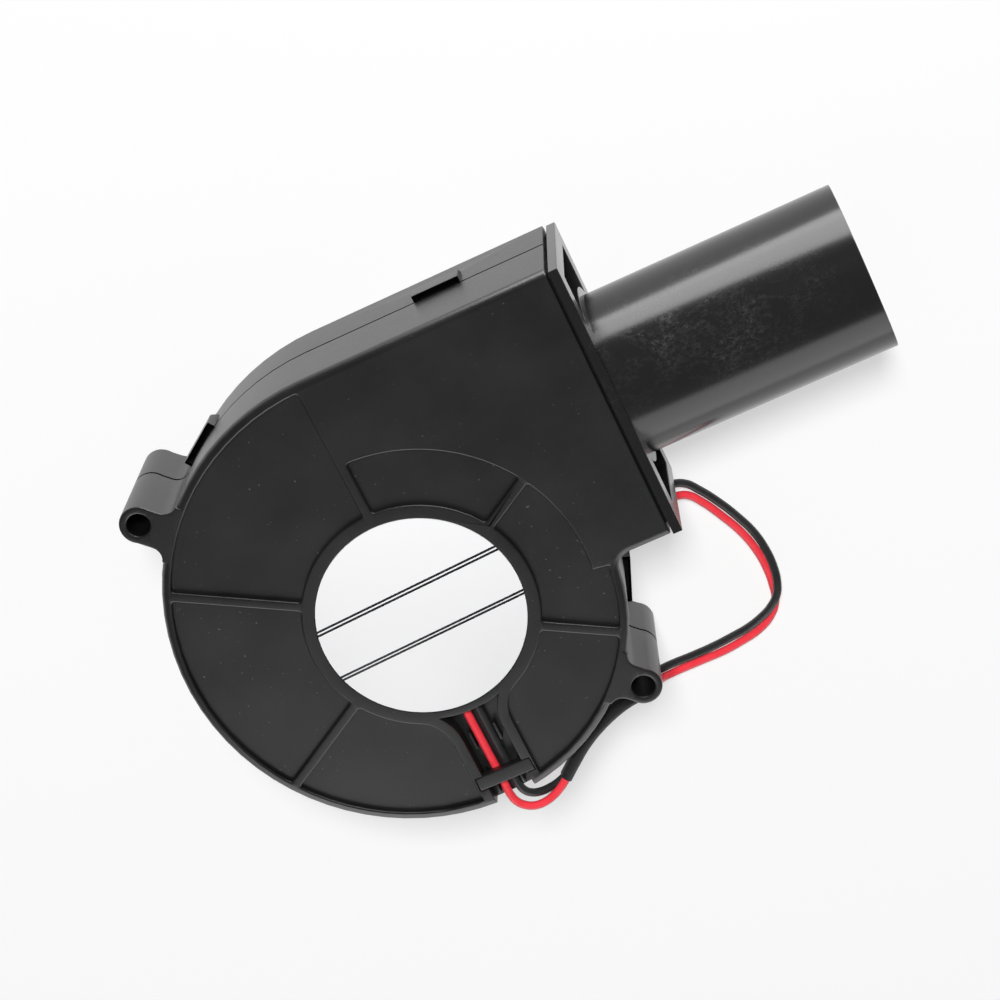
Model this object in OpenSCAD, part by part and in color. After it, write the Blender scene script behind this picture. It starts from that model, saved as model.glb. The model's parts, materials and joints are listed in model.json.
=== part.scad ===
/* [Casing] */
// Depth of the casing from the inlet face to the label face
casing_h = 33; // [31:0.5:40]
// Height of the joint between the two casing halves
parting_z = 14.65; // [12:0.05:17]
// Side wall thickness
wall = 1.8; // [1.4:0.1:2.4]
// Thickness of the inlet panel and of the label panel
panel_t = 2; // [1.8:0.1:2.4]
// Scroll radius at the tongue
scroll_r0 = 38.8; // [38:0.1:42]
// Scroll radius where the spiral meets the top arc
scroll_r1 = 50.1; // [48:0.1:52]
// Polar angle where the spiral meets the top arc
scroll_end_a = 140; // [132:1:146]
// Height of the straight top wall above the rotor axis
outlet_top = 51.8; // [51:0.1:56]
// Depth of the lower outlet wall below the rotor axis
outlet_low = 4.8; // [3:0.1:7]
// Distance from the rotor axis to the outlet end
outlet_x = 49.75; // [48:0.05:60]
// Fillet where the lower outlet wall runs into the scroll
notch_r = 3; // [2:0.5:5]
// Rounding of the outer edges
edge_r = 1.5; // [0.5:0.1:1.7]
// Radius of the air inlet
inlet_r = 26.5; // [25:0.1:26.8]
// Height of the inlet lip above the inlet face
inlet_lip_h = 2.6; // [2.4:0.1:2.8]

/* [Label face] */
// Diameter of the label
label_d = 40.4; // [36:0.1:42]
// Thickness of the label
label_t = 0.25; // [0.1:0.05:0.4]
// Radius where the panel pockets begin
hub_ring_r = 22.9; // [22:0.1:25]
// Outer radius of the two pockets beside the outlet
relief_r = 33.8; // [31:0.1:36]
// Depth of the panel pockets
pocket_depth = 1; // [0.5:0.1:1.2]
// Width of the radial ribs
rib_w = 1.9; // [1.2:0.1:3]
// Width of the rim around the pockets
rim_w = 1.9; // [1.4:0.1:3]

/* [Lugs] */
// Distance between the two lug holes
lug_pcd = 100.9; // [100:0.1:106]
// Diameter of a lug hole
lug_hole_d = 4.5; // [3:0.1:5]
// Outside diameter of a lug
lug_d = 7.4; // [6.6:0.1:9]
// Height of the lug bottoms above the inlet face
lug_z = 1.5; // [0:0.5:10]
// Fillet where a lug meets the casing
lug_fillet = 2.5; // [1:0.5:4]

/* [Wire channel] */
// Inside half width of the wire channel
channel_w = 4.2; // [3.8:0.1:5]
// Thickness of the channel's side walls
channel_wall = 2.1; // [1.6:0.1:2.6]
// Radius of the channel's flared mouth
flare_r = 10; // [8:0.5:12]
// Distance from the rotor axis to the start of the flare
flare_y = 27; // [25:0.5:30]
// Distance from the rotor axis to the middle of the clip bar
clip_y = 37.25; // [34:0.05:37.5]
// Width of the clip bar along the channel
clip_w = 2.9; // [2:0.1:4]
// Lead diameter
lead_d = 1.7; // [1.2:0.1:1.7]

/* [Latches] */
// Width of a latch
latch_w = 9.7; // [7:0.1:12]
// Height that a latch stands proud of the wall
latch_proud = 1.25; // [0.9:0.05:2]
// Length of a latch along the casing depth
latch_l = 7; // [5.5:0.5:9]

/* [Nozzle] */
// Outside diameter of the nozzle tube
tube_od = 32.6; // [31.5:0.1:33]
// Wall thickness of the nozzle tube
tube_t = 2; // [1.4:0.1:2.6]
// Length of the tube beyond the flange
tube_len = 50.1; // [30:0.1:90]
// Height of the tube axis above the rotor axis
tube_y = 23.2; // [22:0.1:25]
// Flange length across the outlet
flange_l = 56; // [55:0.1:62]
// Flange depth along the casing depth
flange_w = 33; // [32.5:0.1:33]
// Flange thickness
flange_t = 1.9; // [1.4:0.1:3]
// Gap between the flange and the casing end
flange_gap = 0.45; // [0.1:0.05:1]
// Length of the collar that plugs into the outlet
collar_len = 8; // [7:0.5:12]

/* [Rotor] */
// Number of impeller blades
blade_count = 36; // [24:1:42]
// Outer radius of the blades
blade_r = 33.6; // [32:0.1:34.5]
// Inner radius of the blades
blade_ri = 27.2; // [26.5:0.1:29]
// Blade thickness
blade_t = 0.9; // [0.6:0.1:1.2]
// Angle by which a blade tip leads its root
blade_lead = 9; // [4:1:14]
// Impeller hub radius
hub_r = 20.5; // [20:0.1:22]
// Height of the hub face above the inlet face
hub_z = 3; // [2.5:0.1:4]
// Thickness of the impeller back plate
back_t = 1.5; // [1:0.1:1.8]
// Shaft diameter
shaft_d = 3; // [2.5:0.1:3.2]

/* [Motor] */
// Outside diameter of a ball bearing
bearing_od = 8; // [7.6:0.1:9]
// Width of a ball bearing
bearing_w = 4; // [3:0.1:4.4]
// Outside diameter of the bearing holder
holder_od = 10; // [9.6:0.1:11]
// Outside radius of the stator core
core_r = 15.4; // [14:0.1:15.6]
// Height of the stator lamination stack
core_h = 10; // [8:0.5:11]
// Number of stator teeth
tooth_count = 6; // [6:3:6]
// Circuit board radius
board_r = 18.3; // [16.5:0.1:18.3]

/* [Hidden] */
$fn = 64;

casing_col = "#303234";
nozzle_col = "#1c1d1f";
steel_col = "#b9bcc0";
tiny = 0.01;
slip = 0.02;
fit = 0.1;

// Casing outline: a spiral from the tongue, a tangent top arc, straight outlet walls and a notch fillet
notch_drop = outlet_low + notch_r;
notch_c = [sqrt(pow(scroll_r0 + notch_r, 2) - pow(notch_drop, 2)), -notch_drop];
notch_a = asin(notch_drop / (scroll_r0 + notch_r));
tongue_a = 360 - notch_a;
grow = ln(scroll_r1 / scroll_r0) / (tongue_a - scroll_end_a);
pitch_a = atan(grow * 180 / PI);
arc_end_a = scroll_end_a + pitch_a;
arc_r = (outlet_top - scroll_r1 * sin(scroll_end_a)) / (1 - sin(arc_end_a));
arc_c = scroll_r1 * dir(scroll_end_a) - arc_r * dir(arc_end_a);
arc_steps = 12;
spiral_steps = 42;
notch_steps = 6;
round_steps = 4;
fillet_steps = 5;

function dir(a) = [cos(a), sin(a)];
function scroll_r(a) = scroll_r0 * exp(grow * (tongue_a - a));
function blend(a, b, i, n) = a + (b - a) * i / n;
function outline(d, x_end = outlet_x) = concat(
    [[x_end, outlet_top - d]],
    [for (i = [0 : arc_steps]) arc_c + (arc_r - d) * dir(blend(90, arc_end_a, i, arc_steps))],
    [for (i = [1 : spiral_steps])
        let (a = blend(scroll_end_a, tongue_a, i, spiral_steps)) (scroll_r(a) - d) * dir(a)],
    [for (i = [1 : notch_steps]) notch_c + (notch_r + d) * dir(blend(180 - notch_a, 90, i, notch_steps))],
    [[x_end, d - outlet_low]]);

// Heights in the motor, counted up from the inlet face
face_z = casing_h;
roof_z = casing_h - panel_t;
clip_t = panel_t;
lead_z = roof_z - lead_d / 2 - 0.05;
floor_z = lead_z - lead_d / 2 - 0.05;
floor_t = 1.2;
label_pit = label_t + 0.05;
board_t = 1;
board_z = floor_z - board_t;
board_hole_r = holder_od / 2 + fit;
hub_wall = 1.3;
hub_cap = 1.4;
back_z = floor_z - floor_t - 1.5 - back_t;
yoke_t = 1;
yoke_r = hub_r - hub_wall - slip;
yoke_z = hub_z + hub_cap + slip;
yoke_h = back_z + back_t - 1 - yoke_z;
air_gap = 0.5;
magnet_ri = core_r + air_gap;
magnet_r = yoke_r - yoke_t - slip;
magnet_z = yoke_z + yoke_t + 2.5;
magnet_h = yoke_z + yoke_h - 0.5 - magnet_z;
boss_top = yoke_z + yoke_t + 4.65;
race_gap = 0.9;
lower_bearing_z = boss_top + race_gap;
upper_bearing_z = board_z + board_t + 0.3 - bearing_w;
holder_bottom = boss_top + 0.4;
holder_top = face_z - label_pit - 0.3;
core_z = lower_bearing_z + 1.5;
clip_z = upper_bearing_z + bearing_w;
shaft_top = clip_z + 1.7;
shaft_r = shaft_d / 2;
groove_r = shaft_r - 0.3;
retainer_t = 0.5;
bearing_r = bearing_od / 2;
ball_pitch_r = (shaft_r + bearing_r) / 2;
ball_r = 0.75;
ball_count = 7;
ball_gap = 0.03;
inner_race_r = ball_pitch_r - 0.45;
outer_race_ri = ball_pitch_r + 0.45;
shield_ri = inner_race_r + 0.15;
shield_t = 0.15;
shield_set = 0.1;

// Seats of the lugs and of the latches on the casing wall
lug_mid = [-3.75, 4.04];
lug_a = 135.5;
lug_seats = [lug_mid + lug_pcd / 2 * dir(lug_a), lug_mid - lug_pcd / 2 * dir(lug_a)];
latch_top_x = 27.8;
latch_left_a = 124.5;
latch_right_a = 334.5;
latch_seats = [
    [[latch_top_x, outlet_top], 90],
    [arc_c + arc_r * dir(latch_left_a), latch_left_a],
    [scroll_r(latch_right_a) * dir(latch_right_a), latch_right_a + pitch_a]];
latch_roof = 0.35;
latch_side = 0.55;
latch_bed = 1;
tongue_t = 1.1;
tongue_gap = 0.15;
tongue_l = 4;
tongue_side = 1;
tongue_root = 2;
latch_floor = 0.6;

// Halves meet in a stepped lip
lip_t = 0.8;
lip_h = 1.2;
lip_end = 2.5;

// Open groove along the joint
seam_h = 0.3;
seam_d = 0.5;
seam_end = 2;

// Inlet lip, the blades above it, and the neck of the boss
inlet_lip_t = 1.2;
blade_gap = 0.8;
boss_neck_r = shaft_r + 1.5;

// Bar of the wire clip past the channel, and the slack of its seat
clip_over = 1.65;
clip_slack = 0.05;

// Leads and plug
red_x = -1.55;
black_x = 0.85;
lead_start_y = -15;
plug_size = [7, 6.4, 5];
plug_pos = [40.6, -11.6, 0];
plug_pitch = 2.5;
plug_wire_z = 2.4;
plug_wire_y = plug_pos.y + plug_size.y / 2;
plug_depth = 2;
contact_w = 1.6;
contact_l = 4.4;
sleeve_t = 0.25;
pair_half = 0.95;

// Middle line of the sleeve on the two leads
sleeve_route = [[9.5, -45.4, 27.6], [12.5, -43, 27.2], [15.9, -40.6, 26.5], [20, -38.6, 25.6],
                [24.2, -37.4, 24.4], [26.5, -37.2, 23.4], [28.5, -37.4, 22.2]];
// Free stretch of the red lead: over the channel's edge, through the sleeve, down and along the floor
red_route = concat(
    [[red_x, -clip_y, lead_z], [-1.6, -40.4, 30.1], [-1.6, -43.1, 30.1], [-1.2, -45, 30], [0, -46.7, 29.8],
     [1.7, -47.7, 29.6], [3.7, -47.9, 29.4], [5.7, -47.5, 29.1], [7.7, -46.6, 28.8]],
    beside(sleeve_route, pair_half),
    [[30.4, -38, 21.7], [31.4, -38.9, 19.6], [31.7, -39.9, 16.9], [31.4, -42.3, 10.8], [31.2, -44.4, 5.8],
     [31.5, -45, 4], [32.5, -45.5, 2.4], [34.1, -45.9, 1.35], [36, -46, 1], [40.6, -46, 0.95],
     [45.4, -46, 0.9], [49.8, -45.5, 0.9], [54, -44.6, 0.9], [57.4, -42.8, 0.9], [59.7, -40, 0.9],
     [60.6, -36.4, 0.9], [60.9, -32, 0.9], [60.5, -27.6, 0.9], [59.3, -23, 0.9], [57.2, -18.2, 0.95],
     [54.8, -13.7, 1], [52.7, -10.9, 1.4], [50.6, -9.9, 2]],
    [[48.2, plug_wire_y - plug_pitch / 2, plug_wire_z],
     [plug_pos.x + plug_size.x - plug_depth, plug_wire_y - plug_pitch / 2, plug_wire_z]]);
// Free stretch of the black lead, which crosses over the red one
black_route = concat(
    [[black_x, -clip_y, lead_z], [0.8, -39.6, 30.1], [0.85, -41.6, 30.1], [1.25, -43.4, 29.95],
     [2.2, -44.9, 29.3], [3.7, -45.9, 28.4], [5.4, -46.3, 27.6], [7.4, -46.2, 27]],
    beside(sleeve_route, -pair_half),
    [[29.5, -37.8, 19.7], [30.2, -38.6, 17.4], [30.1, -40.9, 10.9], [29.9, -42.6, 5.8], [30.2, -43.2, 4],
     [31.2, -43.7, 2.4], [32.8, -44, 1.4], [34.7, -44.1, 1], [39.4, -44.2, 0.9], [44.1, -44.1, 0.9],
     [48.6, -43.7, 0.9], [52.4, -43, 1.3], [55.7, -41.7, 2], [58.4, -40.1, 2.6], [60.6, -38, 2.8],
     [61.8, -35.4, 2.7], [62.4, -32.2, 2.3], [62.4, -28.6, 1.7], [61.7, -24.4, 1.1], [60.1, -20, 0.9],
     [57.7, -15, 0.9], [55.2, -10.9, 1], [53.4, -8.5, 1.4], [51.1, -7.25, 2]],
    [[48.2, plug_wire_y + plug_pitch / 2, plug_wire_z],
     [plug_pos.x + plug_size.x - plug_depth, plug_wire_y + plug_pitch / 2, plug_wire_z]]);
cord_sides = 8;

// Sweep of a cross-section along a list of points
function unit(v) = v / norm(v);
function heading(p, i) =
    unit((i < len(p) - 1 ? unit(p[i + 1] - p[i]) : [0, 0, 0]) + (i > 0 ? unit(p[i] - p[i - 1]) : [0, 0, 0]));
function side_of(t) = unit(cross(t, [0, 0, 1]));
function ring(p, i, shape) =
    let (t = heading(p, i), s = side_of(t), u = cross(s, t)) [for (q = shape) p[i] + q.x * s + q.y * u];
function beside(p, d) = [for (i = [0 : len(p) - 1]) ring(p, i, [[0, d]])[0]];
function round_shape(r, n) = [for (k = [0 : n - 1]) r * dir(360 * (k + 0.5) / n)];
function stadium_shape(r, half) = concat(
    [for (k = [0 : 5]) r * dir(k * 36) + [0, half]],
    [for (k = [0 : 5]) r * dir(180 + k * 36) - [0, half]]);
function strip(n, a, b) = [for (k = [0 : n - 1]) [a + k, a + (k + 1) % n, b + (k + 1) % n, b + k]];
function countdown(n) = [for (k = [n - 1 : -1 : 0]) k];

module sweep(route, shape) {
    n = len(shape);
    m = len(route);
    points = [for (i = [0 : m - 1]) each ring(route, i, shape)];
    polyhedron(points, concat(
        [[for (k = [0 : n - 1]) k]],
        [for (i = [0 : m - 2]) each strip(n, (i + 1) * n, i * n)],
        [[for (k = countdown(n)) (m - 1) * n + k]]));
}

module hollow_sweep(route, outer, inner) {
    n = len(outer);
    m = len(route);
    bore = n * m;
    last = n * (m - 1);
    points = concat(
        [for (i = [0 : m - 1]) each ring(route, i, outer)],
        [for (i = [0 : m - 1]) each ring(route, i, inner)]);
    polyhedron(points, concat(
        [for (i = [0 : m - 2]) each strip(n, (i + 1) * n, i * n)],
        [for (i = [0 : m - 2]) each strip(n, bore + i * n, bore + (i + 1) * n)],
        strip(n, 0, bore),
        strip(n, bore + last, last)));
}

// Solid casing block: straight wall below, rounded edge on top, both ends trimmed flat
module rounded_block(h) {
    spare = 1;
    reach = 2 * (outlet_x + outlet_top);
    levels = concat([[0, -spare]],
        [for (i = [0 : round_steps])
            let (a = 90 * i / round_steps) [edge_r * (1 - cos(a)), h - edge_r + edge_r * sin(a)]],
        [[edge_r, h + spare]]);
    n = len(outline(0));
    points = [for (v = levels) for (p = outline(v[0])) [p.x, p.y, v[1]]];
    last = (len(levels) - 1) * n;
    intersection() {
        polyhedron(points, concat(
            [[for (k = [0 : n - 1]) k]],
            [for (i = [0 : len(levels) - 2]) each strip(n, (i + 1) * n, i * n)],
            [[for (k = countdown(n)) last + k]]));
        translate([-reach / 2, -reach / 2, 0]) cube([reach, reach, h]);
    }
}

module cavity(d, z, h, x_end) {
    translate([0, 0, z]) linear_extrude(h) polygon(outline(d, x_end));
}

module ring_solid(r_out, r_in, z, h) {
    translate([0, 0, z]) difference() {
        cylinder(r = r_out, h = h);
        translate([0, 0, -1]) cylinder(r = r_in, h = h + 2);
    }
}

// Lug outline, drawn in by d: a round end, straight flanks and fillets that run into the casing wall
module lug_shape(seat, d = 0) {
    seat_r = norm(seat);
    seat_a = atan2(seat.y, seat.x) + (seat.y < 0 ? 360 : 0);
    neck = lug_d / 2 - fit - d;
    f = lug_fillet + d;
    root = wall - fit - d;
    wall_r = scroll_r(seat_a) - d;
    translate(seat) rotate(seat_a + 180) {
        circle(d = lug_d - 2 * d);
        for (s = [-1, 1]) {
            side_r = scroll_r(seat_a - s * asin((neck + f) / (wall_r + f))) - d;
            c = [seat_r - sqrt(pow(side_r + f, 2) - pow(neck + f, 2)), s * (neck + f)];
            end_a = atan2(-c.y, seat_r - c.x);
            polygon(concat(
                [[0, -s * tiny], [0, s * neck]],
                [for (i = [0 : fillet_steps]) c + f * dir(blend(-s * 90, end_a, i, fillet_steps))],
                [c + (f + root) * dir(end_a), [seat_r - wall_r + root, -s * tiny]]));
        }
    }
}

module lugs(z, h) {
    for (seat = lug_seats) translate([0, 0, z]) linear_extrude(h) lug_shape(seat);
}

module lug_holes() {
    for (seat = lug_seats) translate([seat.x, seat.y, -1]) cylinder(d = lug_hole_d, h = casing_h + 2);
}

module at_latches() {
    for (seat = latch_seats) translate([seat[0].x, seat[0].y, parting_z]) rotate(seat[1]) children();
}

// Wire channel seen from above, its walls grown outwards by d
module channel_shape(d) {
    c = [channel_w + flare_r, -flare_y];
    edge = [for (i = [0 : 6]) c + (flare_r - d) * dir(180 - 58 * i / 6)];
    y_end = -scroll_r1;
    polygon(concat([[channel_w + d, y_end]], edge,
        [for (i = [6 : -1 : 0]) [-edge[i].x, edge[i].y]], [[-channel_w - d, y_end]]));
}

// Panel pockets between hub ring, ribs, rim, channel walls and the plain panel by the outlet
module pocket_shapes() {
    plain_from = -8.5;
    reach = 2 * outlet_x;
    difference() {
        polygon(outline(rim_w));
        circle(r = hub_ring_r, $fn = 96);
        for (a = [30, 90, 150, 210, 330]) rotate(a) translate([0, -rib_w / 2]) square([reach, rib_w]);
        channel_shape(channel_wall);
        difference() {
            polygon([[0, 0], reach * dir(plain_from), [reach, reach], reach * dir(90)]);
            circle(r = relief_r, $fn = 96);
        }
    }
}

// Wire comb ribs on the channel floor
module comb_ribs() {
    comb_t = 0.6;
    comb_h = lead_d;
    comb_root = 0.2;
    inner_l = 4;
    outer_l = 2.6;
    outer_gap = 0.3;
    inner_y = -flare_y - inner_l;
    outer_y = -clip_y - clip_w / 2 - outer_gap - outer_l;
    for (x = [red_x - lead_d / 2 - comb_t, black_x + lead_d / 2 + comb_t])
        for (span = [[inner_y, inner_l], [outer_y, outer_l]])
            translate([x - comb_t / 2, span[0], floor_z - comb_root])
                cube([comb_t, span[1], comb_h + comb_root]);
}

// Groove round the wall and the lugs, just above the joint
module seam_groove() {
    reach = 2 * (outlet_x + outlet_top);
    translate([0, 0, parting_z - tiny]) linear_extrude(seam_h + tiny) difference() {
        translate([outlet_x - seam_end - reach, -reach / 2]) square(reach);
        polygon(outline(seam_d));
        for (seat = lug_seats) lug_shape(seat, seam_d);
    }
}

module motor_side_cover() color(casing_col) {
    seat_x = channel_w + clip_over + clip_slack;
    boss_r = holder_od / 2 + 1.7;
    boss_z = board_z + board_t;
    difference() {
        union() {
            difference() {
                translate([0, 0, parting_z]) rounded_block(casing_h - parting_z);
                cavity(wall, parting_z - 1, roof_z - parting_z + 1, outlet_x + 1);
            }
            translate([0, 0, floor_z - floor_t]) linear_extrude(roof_z + panel_t / 4 - floor_z + floor_t)
                intersection() {
                    channel_shape(channel_wall);
                    polygon(outline(wall / 2));
                }
            translate([0, 0, boss_z]) cylinder(r = boss_r, h = roof_z + panel_t / 4 - boss_z);
            lugs(parting_z, casing_h - parting_z);
        }
        translate([0, 0, face_z - pocket_depth]) linear_extrude(pocket_depth + 1) pocket_shapes();
        translate([0, 0, face_z - label_pit]) cylinder(r = label_d / 2 + fit / 2, h = 1, $fn = 96);
        translate([0, 0, floor_z]) linear_extrude(roof_z - floor_z + tiny) channel_shape(0);
        translate([0, 0, roof_z]) linear_extrude(panel_t + 1) difference() {
            channel_shape(0);
            circle(r = label_d / 2 + 1.6, $fn = 96);
        }
        translate([-seat_x, -clip_y - clip_w / 2 - fit / 2, face_z - clip_t])
            cube([2 * seat_x, clip_w + fit, clip_t + 1]);
        translate([0, 0, board_z]) cylinder(r = holder_od / 2 + slip, h = casing_h);
        cavity(wall - lip_t - fit, parting_z - 1, lip_h + fit + 1, outlet_x + 1);
        seam_groove();
        lug_holes();
    }
    comb_ribs();
    at_latches() translate([-wall - tongue_t / 2, -latch_w / 2 + tongue_side, -tongue_l])
        cube([tongue_t, latch_w - 2 * tongue_side, tongue_l + lip_h + tongue_root]);
}

module inlet_side_cover() color(casing_col) {
    difference() {
        union() {
            difference() {
                union() {
                    translate([0, 0, parting_z]) mirror([0, 0, 1]) rounded_block(parting_z);
                    cavity(wall - lip_t, parting_z - 1, lip_h + 1, outlet_x - lip_end);
                }
                cavity(wall, panel_t, casing_h, outlet_x + 1);
            }
            cylinder(r = inlet_r + inlet_lip_t, h = inlet_lip_h, $fn = 96);
            lugs(lug_z, parting_z - lug_z);
            at_latches() rotate([90, 0, 0]) linear_extrude(latch_w, center = true)
                polygon([[-latch_bed, 0],
                         [latch_proud, 0],
                         [latch_proud, -tongue_l - tongue_gap - latch_floor],
                         [0, -latch_l],
                         [-latch_bed, -latch_l]]);
        }
        translate([0, 0, -1]) cylinder(r = inlet_r, h = inlet_lip_h + 2, $fn = 96);
        at_latches() translate([-wall - 0.5, -latch_w / 2 + latch_side, -tongue_l - tongue_gap])
            cube([wall + 0.5 + latch_proud - latch_roof, latch_w - 2 * latch_side, tongue_l + lip_h + 1]);
        lug_holes();
    }
}

// Nozzle: flange, plug-in collar with a rectangular-to-round funnel, and a plain tube
module nozzle() color(nozzle_col) {
    flange_x = outlet_x + flange_gap;
    front_x = flange_x + flange_t;
    plug_x = outlet_x - collar_len;
    mid_z = casing_h / 2;
    plug_y0 = wall + fit - outlet_low;
    plug_y1 = outlet_top - wall - fit;
    plug_hz = mid_z - panel_t - fit;
    collar_t = 1.4;
    tube_r = tube_od / 2;
    throat_r = plug_hz - 1.2;
    throat_l = 6;
    skin = 1.6;
    flange_rim = 3.6;
    flange_edge = 5.5;
    pocket_y = flange_l / 2 - flange_rim;
    pocket_hz = flange_w / 2 - flange_edge;
    root_r = tube_r + 1.8;
    slope = (plug_y1 - tube_y - collar_t - throat_r) / collar_len;
    skin_x = skin * sqrt(1 + slope * slope) / slope;
    difference() {
        union() {
            translate([flange_x, tube_y - flange_l / 2, mid_z - flange_w / 2])
                cube([flange_t, flange_l, flange_w]);
            translate([plug_x, plug_y0, mid_z - plug_hz])
                cube([collar_len + flange_gap + tiny, plug_y1 - plug_y0, 2 * plug_hz]);
            translate([flange_x, tube_y, mid_z]) rotate([0, 90, 0])
                cylinder(r = tube_r, h = flange_t + tube_len, $fn = 96);
        }
        hull() {
            translate([plug_x - 1, plug_y0 + collar_t, mid_z - plug_hz + collar_t])
                cube([1, plug_y1 - plug_y0 - 2 * collar_t, 2 * (plug_hz - collar_t)]);
            translate([flange_x - 0.5, tube_y, mid_z]) rotate([0, 90, 0])
                cylinder(r = throat_r, h = 0.5, $fn = 32);
        }
        translate([flange_x - 0.1, tube_y, mid_z]) rotate([0, 90, 0])
            cylinder(r1 = throat_r, r2 = tube_r - tube_t, h = throat_l, $fn = 96);
        translate([flange_x - 0.2 + throat_l, tube_y, mid_z]) rotate([0, 90, 0])
            cylinder(r = tube_r - tube_t, h = tube_len + flange_t, $fn = 96);
        for (s = [-1, 1])
            difference() {
                translate([0, tube_y, mid_z - pocket_hz]) linear_extrude(2 * pocket_hz)
                    polygon([[front_x + 1, s * pocket_y],
                             [flange_x - (pocket_y - throat_r) / slope + skin_x, s * pocket_y],
                             [flange_x - (root_r - throat_r) / slope + skin_x, s * root_r],
                             [flange_x, s * throat_r],
                             [front_x + 1, s * throat_r]]);
                translate([plug_x, tube_y, mid_z]) rotate([0, 90, 0])
                    cylinder(r = root_r, h = collar_len + 10, $fn = 96);
            }
    }
}

module label() color("white") {
    translate([0, 0, face_z - label_pit]) cylinder(d = label_d, h = label_t, $fn = 96);
}

// Clip bar over the leads, with two legs that stand on the channel floor
module wire_clip() color("#242526") {
    leg_x = channel_w - 0.8;
    leg_w = 0.7;
    bar_x = channel_w + clip_over;
    translate([0, -clip_y, 0]) {
        translate([-bar_x, -clip_w / 2, face_z - clip_t]) cube([2 * bar_x, clip_w, clip_t]);
        for (s = [-1, 1])
            translate([s * leg_x - leg_w / 2, -clip_w / 2, floor_z])
                cube([leg_w, clip_w, face_z - clip_t - floor_z + tiny]);
    }
}

// One forward-curved blade seen from above
module blade_shape() {
    steps = 6;
    function edge(s) = [for (i = [0 : steps])
        let (u = i / steps, r = blend(blade_ri, blade_r, i, steps))
        r * dir(-blade_lead * pow(u, 1.7) + s * blade_t / 2 * 180 / (PI * r))];
    inner = edge(-1);
    outer = edge(1);
    polygon(concat(inner, [for (i = [steps : -1 : 0]) outer[i]]));
}

// Impeller: hub cup, back plate, forward-curved blades and a tip ring at the inlet end
module impeller() color("#26282a") {
    blade_z = inlet_lip_h + blade_gap;
    plate_over = 0.4;
    tip_ring_h = 1.4;
    tip_ring_over = 0.6;
    tip_ring_bite = 1;
    difference() {
        union() {
            translate([0, 0, hub_z]) cylinder(r = hub_r, h = back_z + back_t - hub_z, $fn = 96);
            translate([0, 0, back_z]) cylinder(r = blade_r + plate_over, h = back_t, $fn = 96);
        }
        translate([0, 0, hub_z + hub_cap]) cylinder(r = hub_r - hub_wall, h = casing_h, $fn = 96);
    }
    translate([0, 0, blade_z]) linear_extrude(back_z + back_t / 2 - blade_z)
        for (k = [0 : blade_count - 1]) rotate(360 * k / blade_count) blade_shape();
    ring_solid(blade_r + tip_ring_over, blade_r - tip_ring_bite, blade_z, tip_ring_h, $fn = 96);
}

// Steel cup that carries the magnet
module rotor_yoke() color(steel_col) {
    translate([0, 0, yoke_z]) difference() {
        cylinder(r = yoke_r, h = yoke_h, $fn = 96);
        translate([0, 0, yoke_t]) cylinder(r = yoke_r - yoke_t, h = yoke_h, $fn = 96);
        translate([0, 0, -1]) cylinder(r = boss_neck_r + slip, h = yoke_t + 2);
    }
}

module rotor_magnet() color("#3b3735") {
    ring_solid(magnet_r, magnet_ri, magnet_z, magnet_h, $fn = 96);
}

// Brass boss that ties the shaft to the yoke
module rotor_boss() color("#c9a24a") {
    body_r = shaft_r + 2.7;
    difference() {
        union() {
            translate([0, 0, yoke_z]) cylinder(r = boss_neck_r, h = yoke_t + 1);
            translate([0, 0, yoke_z + yoke_t]) cylinder(r = body_r, h = boss_top - yoke_z - yoke_t);
        }
        translate([0, 0, yoke_z - 1]) cylinder(r = shaft_r + tiny, h = casing_h);
    }
}

module shaft() color(steel_col) {
    translate([0, 0, yoke_z]) difference() {
        cylinder(r = shaft_r, h = shaft_top - yoke_z);
        translate([0, 0, clip_z - yoke_z]) difference() {
            cylinder(r = shaft_r + 1, h = retainer_t + tiny);
            translate([0, 0, -1]) cylinder(r = groove_r, h = retainer_t + 2);
        }
    }
}

// Open spring clip in the shaft groove
module retaining_clip() color("#8f9296") {
    translate([0, 0, clip_z]) difference() {
        cylinder(r = shaft_r + 0.7, h = retainer_t);
        translate([0, 0, -1]) cylinder(r = groove_r + tiny, h = retainer_t + 2);
        translate([0, -groove_r * 0.8, -1]) cube([shaft_r + 2, groove_r * 1.6, retainer_t + 2]);
    }
}

// Dished washer that preloads the bearings
module spring_washer() color(steel_col) {
    r_in = shaft_r + 0.05;
    r_out = inner_race_r;
    thick = 0.25;
    rise = race_gap - thick;
    translate([0, 0, boss_top]) rotate_extrude()
        polygon([[r_in, rise], [r_out, 0], [r_out, thick], [r_in, rise + thick]]);
}

module ball_track() {
    rotate_extrude() translate([ball_pitch_r, 0]) circle(r = ball_r + ball_gap, $fn = 32);
}

module inner_race(z) color(steel_col) {
    translate([0, 0, z]) difference() {
        ring_solid(inner_race_r, shaft_r + tiny, 0, bearing_w);
        translate([0, 0, bearing_w / 2]) ball_track();
    }
}

// Outer race with its two shields
module outer_race(z) color(steel_col) {
    translate([0, 0, z]) {
        difference() {
            ring_solid(bearing_r, outer_race_ri, 0, bearing_w);
            translate([0, 0, bearing_w / 2]) ball_track();
        }
        for (s = [shield_set, bearing_w - shield_set - shield_t])
            ring_solid(outer_race_ri + 0.2, shield_ri, s, shield_t);
    }
}

// Balls joined by their cage ring
module ball_cage(z) color("#d8dade") {
    cage_h = 0.7;
    translate([0, 0, z + bearing_w / 2]) {
        for (k = [0 : ball_count - 1])
            rotate(360 * k / ball_count) translate([ball_pitch_r, 0, 0]) sphere(r = ball_r, $fn = 32);
        ring_solid(ball_pitch_r + 0.2, ball_pitch_r - 0.2, -cage_h / 2, cage_h);
    }
}

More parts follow.
